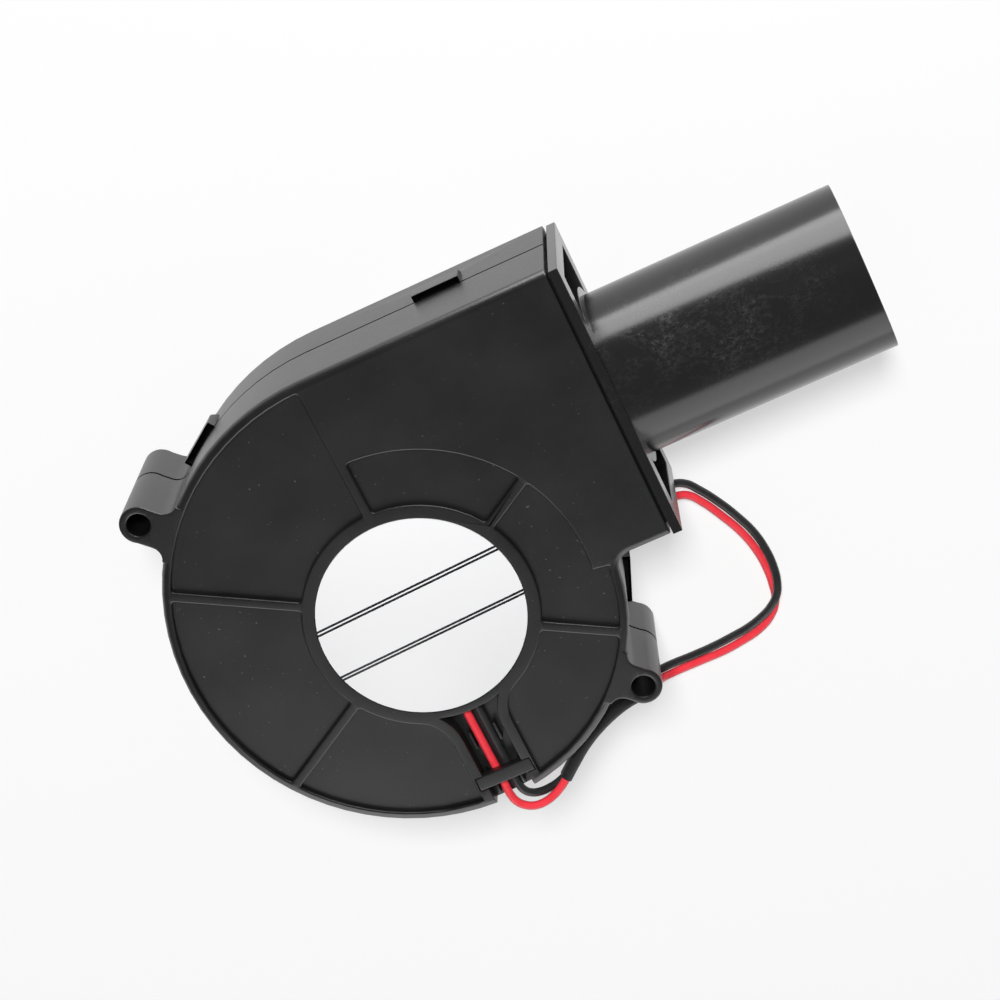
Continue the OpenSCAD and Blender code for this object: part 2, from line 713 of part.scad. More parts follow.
// Brass tube pressed into the label panel, with a shoulder for each bearing
module bearing_holder() color("#c9a24a") {
    difference() {
        translate([0, 0, holder_bottom]) cylinder(d = holder_od, h = holder_top - holder_bottom);
        translate([0, 0, holder_bottom - 1])
            cylinder(r = bearing_r + tiny, h = lower_bearing_z + bearing_w - holder_bottom + 1);
        translate([0, 0, upper_bearing_z]) cylinder(r = bearing_r + tiny, h = casing_h);
        cylinder(r = outer_race_ri + 0.2, h = casing_h);
    }
}

tooth_w = 3.6;
yoke_ring_r = 8;
shoe_t = 1.8;
shoe_gap = 2.2;

// Laminated core: hub ring, teeth and pole shoes
module stator_core() color("#84878a") {
    translate([0, 0, core_z]) difference() {
        union() {
            cylinder(r = yoke_ring_r, h = core_h);
            intersection() {
                cylinder(r = core_r - shoe_t / 2, h = core_h, $fn = 96);
                for (k = [0 : tooth_count - 1]) rotate(360 * k / tooth_count)
                    translate([0, -tooth_w / 2, 0]) cube([core_r, tooth_w, core_h]);
            }
            difference() {
                cylinder(r = core_r, h = core_h, $fn = 96);
                translate([0, 0, -1]) cylinder(r = core_r - shoe_t, h = core_h + 2, $fn = 96);
                for (k = [0 : tooth_count - 1]) rotate(360 * (k + 0.5) / tooth_count)
                    translate([0, -shoe_gap / 2, -1]) cube([core_r + 1, shoe_gap, core_h + 2]);
            }
        }
        translate([0, 0, -1]) cylinder(d = holder_od + 2 * slip, h = core_h + 2);
    }
}

insulator_t = 0.8;
insulator_side = 0.45;
arm_w = tooth_w + 2 * insulator_side + 2 * slip;
arm_end = sqrt(pow(core_r - shoe_t, 2) - pow(arm_w / 2, 2)) - fit;

// Insulator half: a ring with channel-shaped arms over the teeth, open side down
module insulator() {
    skirt = core_h / 2 - fit;
    side_y = (arm_w - insulator_side) / 2;
    difference() {
        union() {
            cylinder(r = yoke_ring_r, h = insulator_t);
            for (k = [0 : tooth_count - 1]) rotate(360 * k / tooth_count) {
                translate([yoke_ring_r - 1, -arm_w / 2, 0])
                    cube([arm_end - yoke_ring_r + 1, arm_w, insulator_t]);
                for (s = [-1, 1])
                    translate([yoke_ring_r + 0.3, s * side_y - insulator_side / 2, -skirt])
                        cube([arm_end - yoke_ring_r - 0.3, insulator_side, skirt + insulator_t]);
            }
        }
        translate([0, 0, -1]) cylinder(d = holder_od + 2 * slip, h = insulator_t + 2);
    }
}

pin_r = 0.35;
pin_seat_r = 7.3;
pin_sink = 3;
pin_proud = 0.6;
collar_top = board_z;

// Upper insulator with the collar that the circuit board stands on
module upper_insulator() color("#d9d4c4") {
    base_z = core_z + core_h;
    difference() {
        union() {
            translate([0, 0, base_z]) insulator();
            ring_solid(yoke_ring_r, yoke_ring_r - 1.4, base_z, collar_top - base_z);
        }
        at_pins() translate([0, 0, collar_top - pin_sink]) cylinder(r = pin_r + tiny, h = pin_sink + 1);
    }
}

module lower_insulator() color("#d9d4c4") {
    translate([0, 0, core_z]) mirror([0, 0, 1]) insulator();
}

// One wound coil on each tooth
module stator_windings() color("#b5652b") {
    inner_w = arm_w + fit;
    build = 1.6;
    inner_h = core_h + 2 * insulator_t + fit;
    x0 = yoke_ring_r + 0.5;
    len_x = sqrt(pow(core_r - shoe_t, 2) - pow(inner_w / 2 + build, 2)) - fit - x0;
    for (k = [0 : tooth_count - 1]) rotate(360 * k / tooth_count)
        translate([x0, 0, core_z + core_h / 2]) rotate([90, 0, 90]) linear_extrude(len_x) difference() {
            union() {
                square([inner_w, inner_h + 2 * build], center = true);
                square([inner_w + 2 * build, inner_h], center = true);
                for (sx = [-1, 1]) for (sy = [-1, 1])
                    translate([sx * inner_w / 2, sy * inner_h / 2]) circle(r = build);
            }
            square([inner_w, inner_h], center = true);
        }
}

module at_pins() {
    for (a = [45, 135, 225]) rotate(a) translate([pin_seat_r, 0, 0]) children();
}

module coil_pins() color(steel_col) {
    at_pins() translate([0, 0, collar_top - pin_sink])
        cylinder(r = pin_r, h = pin_sink + board_t + pin_proud, $fn = 24);
}

module circuit_board() color("#1f5c38") {
    translate([0, 0, board_z]) difference() {
        cylinder(r = board_r, h = board_t, $fn = 96);
        translate([0, 0, -1]) cylinder(r = board_hole_r, h = board_t + 2);
        at_pins() translate([0, 0, -1]) cylinder(r = pin_r + fit, h = board_t + 2, $fn = 24);
    }
}

// Driver chip with two rows of leads on the board's upper side
module driver_chip() color("#1a1a1c") {
    body = [5, 3.9, 1.35];
    foot_w = 0.4;
    foot_l = 1;
    foot_t = 0.35;
    foot_pitch = 1.27;
    translate([-12, 7, board_z + board_t]) rotate(30) {
        translate([-body.x / 2, -body.y / 2, 0.1]) cube([body.x, body.y, body.z - 0.1]);
        for (i = [-1.5 : 1.5]) for (s = [-1, 1])
            translate([i * foot_pitch, s * (body.y / 2 + foot_l / 2 - tiny), foot_t / 2])
                cube([foot_w, foot_l, foot_t], center = true);
    }
}

// Hall sensor under the board, over the magnet's rim
module hall_sensor() color("#1a1a1c") {
    body = [3, 1.6, 1.1];
    rotate(30) translate([(magnet_ri + magnet_r) / 2 - body.y / 2, -body.x / 2, board_z - body.z])
        cube([body.y, body.x, body.z]);
}

// Small resistors and capacitors on the board's upper side
module board_parts() color("#b08d57") {
    for (p = [[10.5, 8.5, 20, 2, 1.2, 0.6], [13, 4, 70, 2, 1.2, 0.6], [9.5, -9.5, 45, 3.2, 1.6, 0.9],
              [-6.5, 13, 0, 3.2, 1.6, 0.9], [2, 13.5, 0, 2, 1.2, 0.6]])
        translate([p[0], p[1], board_z + board_t]) rotate(p[2])
            translate([-p[3] / 2, -p[4] / 2, 0]) cube([p[3], p[4], p[5]]);
}

// Held stretch of a lead, from the board to the clip
module held_lead(x) {
    translate([x, lead_start_y, lead_z]) rotate([90, 0, 0])
        cylinder(d = lead_d, h = clip_y + lead_start_y, $fn = 24);
}

module red_lead() color("#c8202c") {
    held_lead(red_x);
}

module black_lead() color("#1b1b1d") {
    held_lead(black_x);
}

module red_tail() color("#c8202c") {
    sweep(red_route, round_shape(lead_d / 2, cord_sides));
}

module black_tail() color("#1b1b1d") {
    sweep(black_route, round_shape(lead_d / 2, cord_sides));
}

// Shrunk sleeve that holds the two leads one above the other
module cable_sleeve() color("#202123") {
    bore_r = lead_d / 2 + fit;
    hollow_sweep(sleeve_route, stadium_shape(bore_r + sleeve_t, pair_half), stadium_shape(bore_r, pair_half));
}

module at_plug_ways() {
    for (s = [-0.5, 0.5]) translate([plug_pos.x, plug_wire_y + s * plug_pitch, plug_wire_z]) children();
}

// Two-way plug: open contact chambers in front, wire entries behind, a latch rib on top
module plug_housing() color("#e9e6dc") {
    chamber = contact_w + 2 * fit;
    contact_x = plug_size.x - plug_depth - contact_l;
    difference() {
        union() {
            translate(plug_pos) cube(plug_size);
            translate([plug_pos.x + 1, plug_wire_y - 0.7, plug_size.z - tiny]) cube([3.5, 1.4, 0.7]);
        }
        at_plug_ways() {
            translate([-1, -chamber / 2, -chamber / 2])
                cube([plug_size.x - plug_depth + 1, chamber, chamber]);
            rotate([0, 90, 0]) cylinder(d = lead_d + 2 * fit, h = plug_size.x + 1, $fn = 24);
        }
    }
    at_plug_ways() translate([contact_x - 0.6, -chamber / 2 - tiny, -chamber / 2 - tiny])
        difference() {
            cube([0.5, chamber + 2 * tiny, 0.5]);
            translate([-1, 0.6, -1]) cube([3, chamber - 1.2, 3]);
        }
}

module plug_contacts() color("#c9b27a") {
    at_plug_ways() translate([plug_size.x - plug_depth - contact_l, -contact_w / 2, -contact_w / 2])
        difference() {
            cube([contact_l, contact_w, contact_w]);
            translate([-1, 0.25, 0.25]) cube([contact_l - 0.6, contact_w - 0.5, contact_w - 0.5]);
        }
}

motor_side_cover();
inlet_side_cover();
nozzle();
label();
wire_clip();
impeller();
rotor_yoke();
rotor_magnet();
rotor_boss();
shaft();
retaining_clip();
spring_washer();
inner_race(upper_bearing_z);  // upper_inner_race
outer_race(upper_bearing_z);  // upper_outer_race
ball_cage(upper_bearing_z);  // upper_ball_cage
inner_race(lower_bearing_z);  // lower_inner_race
outer_race(lower_bearing_z);  // lower_outer_race
ball_cage(lower_bearing_z);  // lower_ball_cage
bearing_holder();
stator_core();
upper_insulator();
lower_insulator();
stator_windings();
coil_pins();
circuit_board();
driver_chip();
hall_sensor();
board_parts();
red_lead();
black_lead();
red_tail();
black_tail();
cable_sleeve();
plug_housing();
plug_contacts();
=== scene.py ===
import json
import math
import bpy
import bmesh
from mathutils import Euler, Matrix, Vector


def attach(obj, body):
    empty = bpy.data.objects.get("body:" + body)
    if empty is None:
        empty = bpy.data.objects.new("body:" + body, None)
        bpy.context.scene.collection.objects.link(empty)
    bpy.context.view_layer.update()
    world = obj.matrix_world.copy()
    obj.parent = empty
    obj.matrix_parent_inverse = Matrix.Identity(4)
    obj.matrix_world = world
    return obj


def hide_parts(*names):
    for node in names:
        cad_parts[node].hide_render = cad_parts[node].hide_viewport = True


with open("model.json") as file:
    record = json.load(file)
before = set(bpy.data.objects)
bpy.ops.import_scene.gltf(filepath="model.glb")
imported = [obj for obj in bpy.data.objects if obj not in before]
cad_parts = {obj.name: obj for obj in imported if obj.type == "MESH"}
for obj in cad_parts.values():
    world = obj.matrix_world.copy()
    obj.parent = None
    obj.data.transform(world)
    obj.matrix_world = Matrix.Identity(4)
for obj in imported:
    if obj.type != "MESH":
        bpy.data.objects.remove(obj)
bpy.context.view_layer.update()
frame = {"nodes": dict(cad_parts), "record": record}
cad = frame["nodes"]
mm = 0.001
up = Vector((0, 0, 1))
scene = bpy.context.scene
scene.view_settings.view_transform = "Standard"
print("frame loaded,", len(cad), "nodes")

# camera: high over the outlet side, label face towards it
photoCamera = {"place": (92.8, 153.15, 423.78), "turn": (-21.526, 0.487, -25.354),
               "lens": 81.27, "sensor": 36.0, "clip": (0.01, 50)}


def setCamera(s):
    data = bpy.data.cameras.new("photoCamera")
    data.lens = s["lens"]
    data.sensor_width = s["sensor"]
    data.clip_start, data.clip_end = s["clip"]
    camera = bpy.data.objects.new("photoCamera", data)
    camera.location = Vector(s["place"]) * mm
    camera.rotation_euler = Euler([math.radians(a) for a in s["turn"]], "XYZ")
    scene.collection.objects.link(camera)
    scene.camera = camera


setCamera(photoCamera)
print("camera set")


def addPiece(name, data, body, slot, material, *stands):
    piece = bpy.data.objects.new(name, data)
    scene.collection.objects.link(piece)
    piece.data.materials.clear()
    piece.data.materials.append(material)
    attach(piece, body)
    if stands:
        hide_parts(*stands)
    return piece


# node helpers for the materials; most of a noise lies within noiseSpan, bumpDepth is in mm
noiseSpan = (0.3, 0.7)
bumpDepth = 0.02


def startMaterial(name, colour, rough, metal=0.0, shine=0.5):
    mat = bpy.data.materials.new(name)
    mat.use_nodes = True
    tree = mat.node_tree
    shader = tree.nodes["Principled BSDF"]
    shader.inputs["Base Color"].default_value = (*colour, 1)
    shader.inputs["Roughness"].default_value = rough
    shader.inputs["Metallic"].default_value = metal
    shader.inputs["Specular IOR Level"].default_value = shine
    return mat, tree, shader


def placeOf(tree, stretch=(1, 1, 1), turn=0.0, shift=(0, 0, 0)):
    coords = tree.nodes.new("ShaderNodeTexCoord")
    mapping = tree.nodes.new("ShaderNodeMapping")
    mapping.inputs["Location"].default_value = shift
    mapping.inputs["Rotation"].default_value = (0, 0, math.radians(turn))
    mapping.inputs["Scale"].default_value = stretch
    tree.links.new(coords.outputs["Object"], mapping.inputs["Vector"])
    return mapping.outputs["Vector"]


# object coordinates in mm, one socket for each axis
def axesOf(tree, turn=0.0):
    split = tree.nodes.new("ShaderNodeSeparateXYZ")
    tree.links.new(placeOf(tree, (1 / mm, 1 / mm, 1 / mm), turn), split.inputs["Vector"])
    return split.outputs


def noiseOf(tree, scale, detail=3.0, stretch=(1, 1, 1), rough=0.55, bend=0.0):
    noise = tree.nodes.new("ShaderNodeTexNoise")
    noise.inputs["Scale"].default_value = scale
    noise.inputs["Detail"].default_value = detail
    noise.inputs["Roughness"].default_value = rough
    noise.inputs["Distortion"].default_value = bend
    tree.links.new(placeOf(tree, stretch), noise.inputs["Vector"])
    return noise.outputs["Fac"]


# from a to b, shades or plain values, over a span of the value's range
def rampOf(tree, value, a, b, span=noiseSpan):
    ramp = tree.nodes.new("ShaderNodeValToRGB")
    for element, at, shade in zip(ramp.color_ramp.elements, span, (a, b)):
        element.position = at
        element.color = (*shade, 1) if hasattr(shade, "__len__") else (shade, shade, shade, 1)
    tree.links.new(value, ramp.inputs["Fac"])
    return ramp.outputs["Color"]


def mathOf(tree, operation, a, b):
    node = tree.nodes.new("ShaderNodeMath")
    node.operation = operation
    for socket, value in zip(node.inputs, (a, b)):
        if hasattr(value, "links"):
            tree.links.new(value, socket)
        else:
            socket.default_value = value
    return node.outputs[0]


# 1 where a value lies within half of a middle, else 0
def bandOf(tree, value, middle, half):
    node = tree.nodes.new("ShaderNodeMath")
    node.operation = "COMPARE"
    node.inputs[1].default_value = middle
    node.inputs[2].default_value = half
    tree.links.new(value, node.inputs[0])
    return node.outputs[0]


def mixOf(tree, fac, a, b):
    mix = tree.nodes.new("ShaderNodeMix")
    mix.data_type = "RGBA"
    tree.links.new(fac, mix.inputs["Factor"])
    for socket, value in ((mix.inputs[6], a), (mix.inputs[7], b)):
        if hasattr(value, "links"):
            tree.links.new(value, socket)
        else:
            socket.default_value = (*value, 1)
    return mix.outputs[2]


def bumpInto(tree, shader, value, strength):
    bump = tree.nodes.new("ShaderNodeBump")
    bump.inputs["Strength"].default_value = strength
    bump.inputs["Distance"].default_value = bumpDepth * mm
    tree.links.new(value, bump.inputs["Height"])
    tree.links.new(bump.outputs["Normal"], shader.inputs["Normal"])


# charcoal moulding of the casing: spark-eroded grain, faint clouding, few dust specks, painted shade in
# the seam groove
casingLook = {"dark": (0.0045, 0.0045, 0.0047), "light": (0.014, 0.014, 0.0143),
              "cloud": 60, "cloudSpan": (0.3, 0.72),
              "rough": (0.32, 0.42), "shine": 0.9, "grain": 5200, "bump": 0.3,
              "dust": (0.12, 0.12, 0.115), "speck": 2300, "speckSpan": (0.855, 0.87),
              "paintedSeamShade": (0.002, 0.002, 0.002), "seamAt": 14.8, "seamHalf": 0.32}


def casingPlastic(s):
    mat, tree, shader = startMaterial("casingPlastic", s["dark"], s["rough"][0], shine=s["shine"])
    body = rampOf(tree, noiseOf(tree, s["cloud"], detail=4), s["dark"], s["light"], s["cloudSpan"])
    speck = rampOf(tree, noiseOf(tree, s["speck"], detail=0), 0.0, 1.0, s["speckSpan"])
    body = mixOf(tree, speck, body, s["dust"])
    # painted shade: a near-black colour with no specular in a band along the seam groove, standing in
    # for the groove's shadow
    seam = bandOf(tree, axesOf(tree)["Z"], s["seamAt"], s["seamHalf"])
    tree.links.new(mixOf(tree, seam, body, s["paintedSeamShade"]), shader.inputs["Base Color"])
    clear = mathOf(tree, "SUBTRACT", 1.0, seam)
    tree.links.new(mathOf(tree, "MULTIPLY", clear, s["shine"]), shader.inputs["Specular IOR Level"])
    grain = noiseOf(tree, s["grain"], detail=2)
    tree.links.new(rampOf(tree, grain, *s["rough"]), shader.inputs["Roughness"])
    bumpInto(tree, shader, grain, s["bump"])
    return mat


# glossy black tube: one rubbed, dusty patch near the flange, hair scratches along the tube
nozzleLook = {"black": (0.0135, 0.0135, 0.014), "rubbed": (0.085, 0.085, 0.084),
              "rough": (0.2, 0.36), "roughSpan": (0.0, 0.6), "shine": 0.55,
              "grain": 420, "grainStretch": (0.5, 3, 3), "bump": 0.06,
              "patch": 110, "patchSpan": (0.42, 0.62),
              "dust": 1100, "dustSpan": (0.47, 0.78), "dustShare": 0.8,
              "hairs": (260, 480), "hairAt": 0.5, "hairLong": 0.16, "hairThin": 0.01, "hairShare": 0.4,
              "rubAt": (70, 30, 30), "rubSize": (28, 16, 16), "rubSpan": (0.3, 1.0), "rubLeast": 0.12}


def nozzlePlastic(s):
    mat, tree, shader = startMaterial("nozzlePlastic", s["black"], s["rough"][0], shine=s["shine"])
    scale = [1 / (size * mm) for size in s["rubSize"]]
    centre = [-at * mm * k for at, k in zip(s["rubAt"], scale)]
    far = tree.nodes.new("ShaderNodeVectorMath")
    far.operation = "LENGTH"
    tree.links.new(placeOf(tree, scale, shift=centre), far.inputs[0])
    near = rampOf(tree, far.outputs["Value"], 1.0, s["rubLeast"], s["rubSpan"])
    patch = noiseOf(tree, s["patch"], detail=4, rough=0.7, bend=1.0)
    patch = rampOf(tree, patch, 0.0, 1.0, s["patchSpan"])
    hair = 0.0
    for fine in s["hairs"]:
        line = noiseOf(tree, fine, detail=2, stretch=(s["hairLong"], 1, 1), rough=0.6, bend=0.4)
        line = mathOf(tree, "ABSOLUTE", mathOf(tree, "SUBTRACT", line, s["hairAt"]), 0.0)
        line = rampOf(tree, line, s["hairShare"], 0.0, (0.0, s["hairThin"]))
        hair = mathOf(tree, "MAXIMUM", hair, line)
    dust = noiseOf(tree, s["dust"], detail=5, rough=0.75)
    dust = rampOf(tree, dust, 0.0, s["dustShare"], s["dustSpan"])
    marks = mathOf(tree, "MAXIMUM", hair, dust)
    worn = mathOf(tree, "MULTIPLY", mathOf(tree, "MULTIPLY", near, patch), marks)
    tree.links.new(mixOf(tree, worn, s["black"], s["rubbed"]), shader.inputs["Base Color"])
    tree.links.new(rampOf(tree, worn, *s["rough"], s["roughSpan"]), shader.inputs["Roughness"])
    grain = noiseOf(tree, s["grain"], detail=4, stretch=s["grainStretch"])
    bumpInto(tree, shader, grain, s["bump"])
    return mat


# plain moulded, turned or stacked stock with a fine grain that spreads its shade and roughness
stockGrain = {"rough": 0.08, "smoothest": 0.05, "bump": 0.15}


def stockLook(name, colour, rough, metal, grain, spread=0.12, stretch=(1, 1, 1)):
    mat, tree, shader = startMaterial(name, colour, rough, metal)
    fine = noiseOf(tree, grain, stretch=stretch)
    dark = tuple(c * (1 - spread) for c in colour)
    pale = tuple(min(1.0, c * (1 + spread)) for c in colour)
    tree.links.new(rampOf(tree, fine, dark, pale), shader.inputs["Base Color"])
    smooth = max(stockGrain["smoothest"], rough - stockGrain["rough"])
    tree.links.new(rampOf(tree, fine, smooth, rough + stockGrain["rough"]), shader.inputs["Roughness"])
    bumpInto(tree, shader, fine, stockGrain["bump"])
    return mat


# soft wire insulation, slightly clouded along its length
wireLook = {"red": ((0.88, 0.042, 0.06), (0.97, 0.055, 0.078)),
            "black": ((0.018, 0.018, 0.0185), (0.03, 0.03, 0.031)),
            "rough": (0.28, 0.42), "cloud": 420, "fine": 2800, "bump": 0.1}


def wireSkin(name, shades, s):
    mat, tree, shader = startMaterial(name, shades[0], s["rough"][0])
    cloud = noiseOf(tree, s["cloud"], detail=4)
    tree.links.new(rampOf(tree, cloud, *shades), shader.inputs["Base Color"])
    fine = noiseOf(tree, s["fine"], detail=2)
    tree.links.new(rampOf(tree, fine, *s["rough"]), shader.inputs["Roughness"])
    bumpInto(tree, shader, fine, s["bump"])
    return mat


looks = {
    "casing": casingPlastic(casingLook),
    "nozzle": nozzlePlastic(nozzleLook),
    "impeller": stockLook("impellerPlastic", (0.03, 0.031, 0.032), 0.45, 0, 4200),
    "steel": stockLook("groundSteel", (0.55, 0.56, 0.58), 0.3, 1, 2400, 0.08, (1, 1, 6)),
    "balls": stockLook("polishedBalls", (0.7, 0.71, 0.73), 0.12, 1, 1800, 0.04),
    "magnet": stockLook("ferrite", (0.05, 0.047, 0.044), 0.7, 0, 3000),
    "brass": stockLook("turnedBrass", (0.62, 0.42, 0.14), 0.3, 1, 2600, 0.1, (1, 1, 8)),
    "core": stockLook("laminations", (0.26, 0.27, 0.28), 0.45, 1, 900, 0.25, (0.02, 0.02, 3)),
    "insulator": stockLook("ivoryMoulding", (0.68, 0.62, 0.5), 0.5, 0, 3000, 0.05),
    "copper": stockLook("enamelledWire", (0.45, 0.15, 0.045), 0.32, 0.6, 2200, 0.25, (1, 1, 3)),
    "board": stockLook("solderMask", (0.015, 0.1, 0.04), 0.3, 0, 900, 0.2),
    "chip": stockLook("chipMoulding", (0.012, 0.012, 0.0125), 0.55, 0, 5000),
    "chip_parts": stockLook("firedParts", (0.33, 0.22, 0.11), 0.5, 0, 3000),
    "plug": stockLook("plugMoulding", (0.78, 0.76, 0.7), 0.45, 0, 3500, 0.04),
    "sleeve": stockLook("shrunkSleeve", (0.02, 0.02, 0.021), 0.5, 0, 1500, 0.2),
    "red_wire": wireSkin("redInsulation", wireLook["red"], wireLook),
    "black_wire": wireSkin("blackInsulation", wireLook["black"], wireLook),
}
print("materials made:", len(looks))

# moulded parts: copies of the CAD shapes with soft edges; sizes in mm, seam = band left crisp
mouldings = {
    "motor_side_cover": {"name": "labelSideHalf", "round": 0.16, "seam": (14.6, 14.8),
                         "face": {"above": 31.9, "round": 0.35, "corner": 0.6,
                                  "outside": 21.5, "channel": (9, -20)}},
    "inlet_side_cover": {"name": "inletSideHalf", "round": 0.16, "seam": (14.8, 16.2)},
    "nozzle": {"name": "outletNozzle", "round": 0.2},
    "wire_clip": {"name": "wireClip", "round": 0.32},
    "plug_housing": {"name": "plugHousing", "round": 0.12},
}
slotOf = {part["node"]: part["material_slot"] for part in frame["record"]["subparts"]}
crispAngle = math.radians(32)
sharpAngle = math.radians(40)
flatAngle = math.radians(0.8)
uprightShare = 0.99
weldGap = 0.005 * mm
leastEdge = 0.002 * mm


def isCrisp(e):
    return e.is_manifold and e.calc_face_angle(0) > crispAngle


def outerEdges(bm, s):
    low, high = (z * mm for z in s.get("seam", (0, 0)))
    convex = [e for e in bm.edges if isCrisp(e) and e.is_convex]
    return [e for e in convex if not all(low < v.co.z < high for v in e.verts)]


# edges of the pockets and ribs on the label face, away from the label and the wire channel
def onFace(e, f):
    half, start = f["channel"]
    for v in e.verts:
        x, y, z = v.co / mm
        if z < f["above"] or math.hypot(x, y) < f["outside"] or (abs(x) < half and y < start):
            return False
    return True


def isUpright(e):
    return abs((e.verts[1].co - e.verts[0].co).normalized().z) > uprightShare


def roundEdges(bm, edges, size, steps):
    bmesh.ops.bevel(bm, geom=edges, offset=size * mm, offset_type="OFFSET", segments=steps, profile=0.5,
                    affect="EDGES", clamp_overlap=False, material=-1)


def softCopy(node):
    s = mouldings[node]
    mesh = cad[node].data.copy()
    mesh.name = s["name"]
    if "custom_normal" in mesh.attributes:
        mesh.attributes.remove(mesh.attributes["custom_normal"])
    bm = bmesh.new()
    bm.from_mesh(mesh)
    bmesh.ops.remove_doubles(bm, verts=bm.verts, dist=weldGap)
    bmesh.ops.dissolve_limit(bm, angle_limit=flatAngle, verts=bm.verts, edges=bm.edges)
    if "face" in s:
        f = s["face"]
        hollow = [e for e in bm.edges if isCrisp(e) and not e.is_convex]
        corners = [e for e in hollow if isUpright(e) and onFace(e, f)]
        roundEdges(bm, corners, f["corner"], steps=4)
        brims = [e for e in bm.edges if isCrisp(e) and e.is_convex and onFace(e, f)]
        roundEdges(bm, brims, f["round"], steps=3)
        print("pocket corners", len(corners), "brims", len(brims))
    crisp = outerEdges(bm, s)
    roundEdges(bm, crisp, s["round"], steps=2)
    bmesh.ops.dissolve_degenerate(bm, dist=leastEdge, edges=bm.edges)
    bmesh.ops.triangulate(bm, faces=[f for f in bm.faces if len(f.verts) > 4])
    for f in bm.faces:
        f.smooth = True
    for e in bm.edges:
        e.smooth = e.calc_face_angle(0) < sharpAngle
    bm.to_mesh(mesh)
    bm.free()
    slot = slotOf[node]
    piece = addPiece(s["name"], mesh, "housing", slot, looks[slot], node)
    flat = piece.modifiers.new("flatFaces", "WEIGHTED_NORMAL")
    flat.keep_sharp = True
    print(s["name"], "edges softened:", len(crisp), "faces:", len(mesh.polygons))
    return piece


moulded = {node: softCopy(node) for node in mouldings}

# the two leads: held in the channel, then loose over the edge, through the sleeve and round the table
leads = {
    "thick": 1.7, "from": -15.0, "clip": -37.25, "heldParts": 4, "ringSteps": 5, "pathSteps": 8,
    "pairHalf": 0.95, "skin": 0.3, "sleeveWall": 0.2, "sleeveSteps": 8, "sleeveWeld": 0.01,
    "sleeveSharp": 50,
    "held": {"red": (-1.55, 30.1), "black": (0.85, 30.1)},
    "sleeve": [(9.5, -45.4, 27.6), (12.5, -43, 27.2), (15.9, -40.6, 26.5), (20, -38.6, 25.6),
               (24.2, -37.4, 24.4), (26.5, -37.2, 23.4), (28.5, -37.4, 22.2)],
    "redStart": [(-1.55, -37.25, 30.1), (-1.6, -40.4, 30.1), (-1.6, -43.1, 30.1), (-1.2, -45, 30),
                 (0, -46.7, 29.8), (1.7, -47.7, 29.6), (3.7, -47.9, 29.4), (5.7, -47.5, 29.1),
                 (7.7, -46.6, 28.8)],
    "redEnd": [(30.4, -38, 21.7), (31.4, -38.9, 19.6), (31.7, -39.9, 16.9), (31.4, -42.3, 10.8),
               (31.2, -44.4, 5.8), (31.5, -45, 4), (32.5, -45.5, 2.4), (34.1, -45.9, 1.35),
               (36, -46, 1), (40.6, -46, 0.95), (45.4, -46, 0.9), (49.8, -45.5, 0.9),
               (54, -44.6, 0.9), (57.4, -42.8, 0.9), (59.7, -40, 0.9), (60.6, -36.4, 0.9),
               (60.9, -32, 0.9), (60.5, -27.6, 0.9), (59.3, -23, 0.9), (57.2, -18.2, 0.95),
               (54.8, -13.7, 1), (52.7, -10.9, 1.4), (50.6, -9.9, 2), (48.2, -9.65, 2.4),
               (45.6, -9.65, 2.4)],
    "blackStart": [(0.85, -37.25, 30.1), (0.8, -39.6, 30.1), (0.85, -41.6, 30.1),
                   (1.25, -43.4, 29.95), (2.2, -44.9, 29.3), (3.7, -45.9, 28.4), (5.4, -46.3, 27.6),
                   (7.4, -46.2, 27)],
    "blackEnd": [(29.5, -37.8, 19.7), (30.2, -38.6, 17.4), (30.1, -40.9, 10.9), (29.9, -42.6, 5.8),
                 (30.2, -43.2, 4), (31.2, -43.7, 2.4), (32.8, -44, 1.4), (34.7, -44.1, 1),
                 (39.4, -44.2, 0.9), (44.1, -44.1, 0.9), (48.6, -43.7, 0.9), (52.4, -43, 1.3),
                 (55.7, -41.7, 2), (58.4, -40.1, 2.6), (60.6, -38, 2.8), (61.8, -35.4, 2.7),
                 (62.4, -32.2, 2.3), (62.4, -28.6, 1.7), (61.7, -24.4, 1.1), (60.1, -20, 0.9),
                 (57.7, -15, 0.9), (55.2, -10.9, 1), (53.4, -8.5, 1.4), (51.1, -7.25, 2),
                 (48.2, -7.15, 2.4), (45.6, -7.15, 2.4)],
}


# sleeve points moved square to the path: up for the red lead, down for the black one
def besideSleeve(points, shift):
    points = [Vector(p) for p in points]
    steps = [(b - a).normalized() for a, b in zip(points, points[1:])]
    moved = []
    for here, before, after in zip(points, steps[:1] + steps, steps + steps[-1:]):
        heading = (before + after).normalized()
        side = heading.cross(up).normalized()
        moved.append(here + shift * side.cross(heading))
    return moved


def wireCurve(name, points, s):
    data = bpy.data.curves.new(name, "CURVE")
    data.dimensions = "3D"
    data.bevel_depth = s["thick"] / 2 * mm
    data.bevel_resolution = s["ringSteps"]
    data.resolution_u = s["pathSteps"]
    data.use_fill_caps = True
    spline = data.splines.new("BEZIER")
    spline.bezier_points.add(len(points) - 1)
    for knot, point in zip(spline.bezier_points, points):
        knot.co = Vector(point) * mm
        knot.handle_left_type = knot.handle_right_type = "AUTO"
    return data


def layLead(colour, s):
    slot = colour + "_wire"
    x, z = s["held"][colour]
    parts = s["heldParts"]
    held = [(x, s["from"] + (s["clip"] - s["from"]) * i / parts, z) for i in range(parts + 1)]
    name = colour + "LeadInChannel"
    curve = wireCurve(name, held, s)
    addPiece(name, curve, "housing", slot, looks[slot], colour + "_lead")
    shift = s["pairHalf"] if colour == "red" else -s["pairHalf"]
    route = s[colour + "Start"] + besideSleeve(s["sleeve"], shift) + s[colour + "End"]
    name = colour + "LooseLead"
    curve = wireCurve(name, route, s)
    return addPiece(name, curve, "housing", slot, looks[slot], colour + "_tail")


